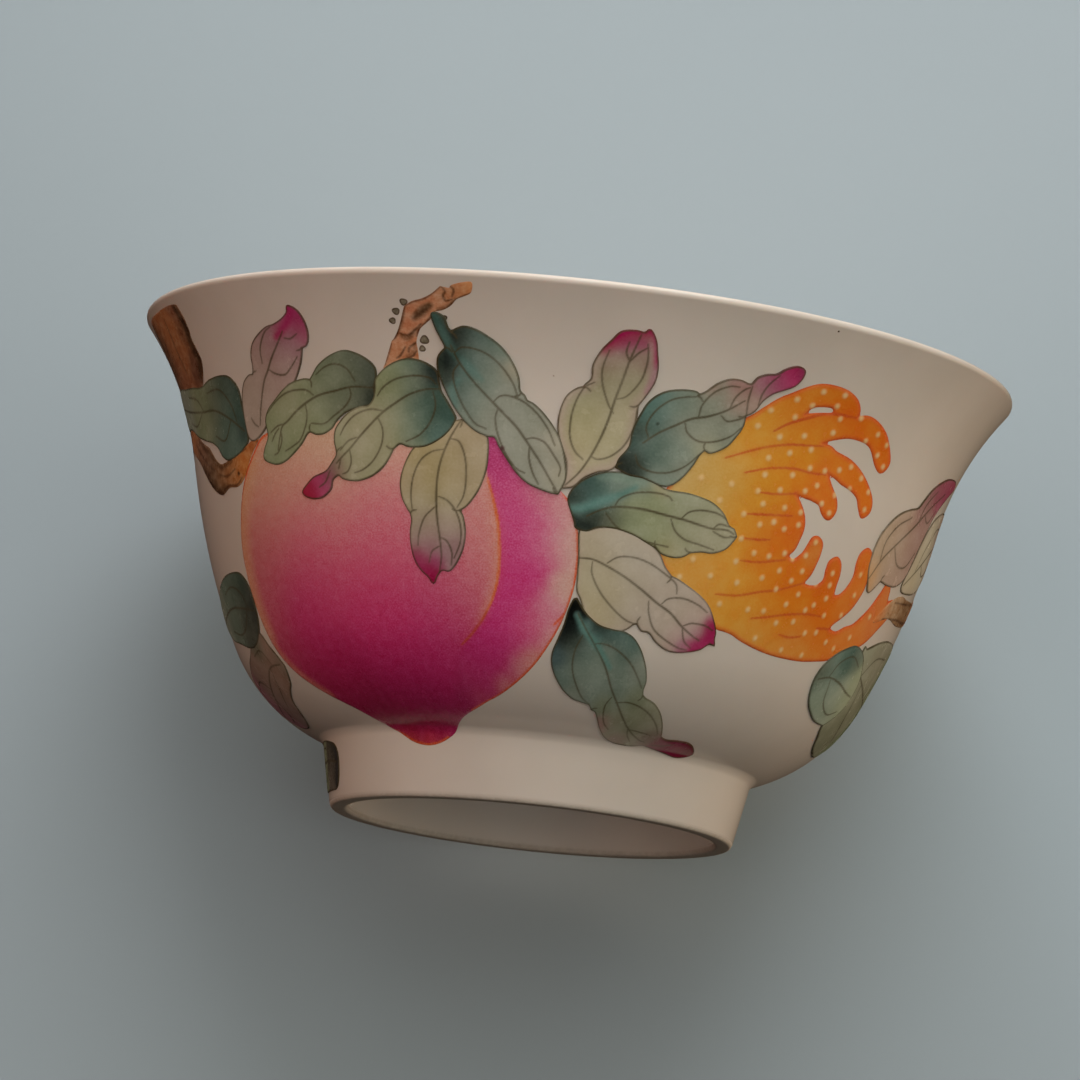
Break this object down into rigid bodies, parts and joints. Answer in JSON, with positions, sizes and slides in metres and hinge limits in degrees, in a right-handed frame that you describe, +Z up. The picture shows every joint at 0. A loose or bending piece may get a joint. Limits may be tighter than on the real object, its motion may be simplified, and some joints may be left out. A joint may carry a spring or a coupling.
{
  "type": "tea bowl",
  "caption": "Porcelain gaiwan bowl with a flared lip and a foot ring, painted in raised overglaze enamels with peach, citron and pomegranate among leaves.",
  "frame": {"origin": "centre of the foot ring on the plane it stands on, which is also the bottom centre of the bounding box", "axes": "+Z up along the bowl's axis, out of its mouth; -Y faces the meeting of the peach and the citron branch; +X towards the citron"},
  "size_m": [0.1, 0.1, 0.0545],
  "materials": {
    "porcelain": "gloss",
    "peach_enamel": "satin",
    "citron_enamel": "satin",
    "pomegranate_enamel": "satin",
    "branch_enamel": "satin",
    "leaf_enamel": "satin"
  },
  "bodies": {
    "root": {"bowl_body": "porcelain", "citron": "citron_enamel", "citron_branch": "branch_enamel", "foot_ring": "porcelain", "leaf_far_a": "leaf_enamel", "leaf_far_b": "leaf_enamel", "leaf_far_c": "leaf_enamel", "leaf_far_d": "leaf_enamel", "leaf_far_e": "leaf_enamel", "leaf_far_f": "leaf_enamel", "leaf_far_g": "leaf_enamel", "leaf_far_h": "leaf_enamel", "leaf_far_i": "leaf_enamel", "leaf_foot": "leaf_enamel", "leaf_hanging": "leaf_enamel", "leaf_large_teal": "leaf_enamel", "leaf_left_dark": "leaf_enamel", "leaf_left_green": "leaf_enamel", "leaf_left_low_brown": "leaf_enamel", "leaf_left_low_dark": "leaf_enamel", "leaf_left_pink": "leaf_enamel", "leaf_low_teal": "leaf_enamel", "leaf_middle_cream": "leaf_enamel", "leaf_middle_teal": "leaf_enamel", "leaf_over_peach": "leaf_enamel", "leaf_right_dark": "leaf_enamel", "leaf_right_low": "leaf_enamel", "leaf_right_pale": "leaf_enamel", "leaf_right_pink": "leaf_enamel", "leaf_top_pale": "leaf_enamel", "leaf_top_teal": "leaf_enamel", "peach": "peach_enamel", "peach_branch": "branch_enamel", "pomegranate": "pomegranate_enamel", "pomegranate_branch": "branch_enamel", "pomegranate_crown": "pomegranate_enamel", "rim_branch": "branch_enamel", "stalk_branch": "branch_enamel"}
  },
  "joints": []
}
